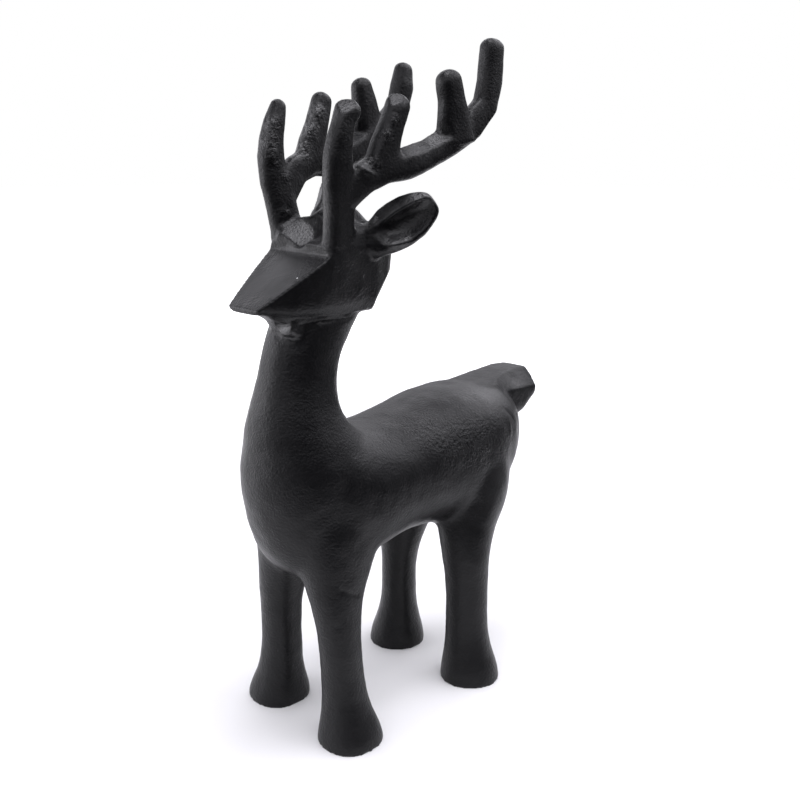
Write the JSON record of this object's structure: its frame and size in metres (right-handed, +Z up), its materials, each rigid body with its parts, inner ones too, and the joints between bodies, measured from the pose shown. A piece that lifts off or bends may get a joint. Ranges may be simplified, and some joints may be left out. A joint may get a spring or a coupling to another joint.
{
  "type": "reindeer figurine",
  "caption": "Standing cast reindeer figurine in matt black, with a faceted muzzle, scooped ears, branching antlers, stout flared legs and a blunt raised tail.",
  "frame": {"origin": "middle of the figure's length and width, on the ground plane its four soles stand on", "axes": "+X towards the animal's left side, -Y out of its nose, +Z up"},
  "size_m": [0.0986, 0.2052, 0.3604],
  "materials": {
    "black coat": "matt"
  },
  "bodies": {
    "root": {"reindeer": "black coat"}
  },
  "joints": []
}
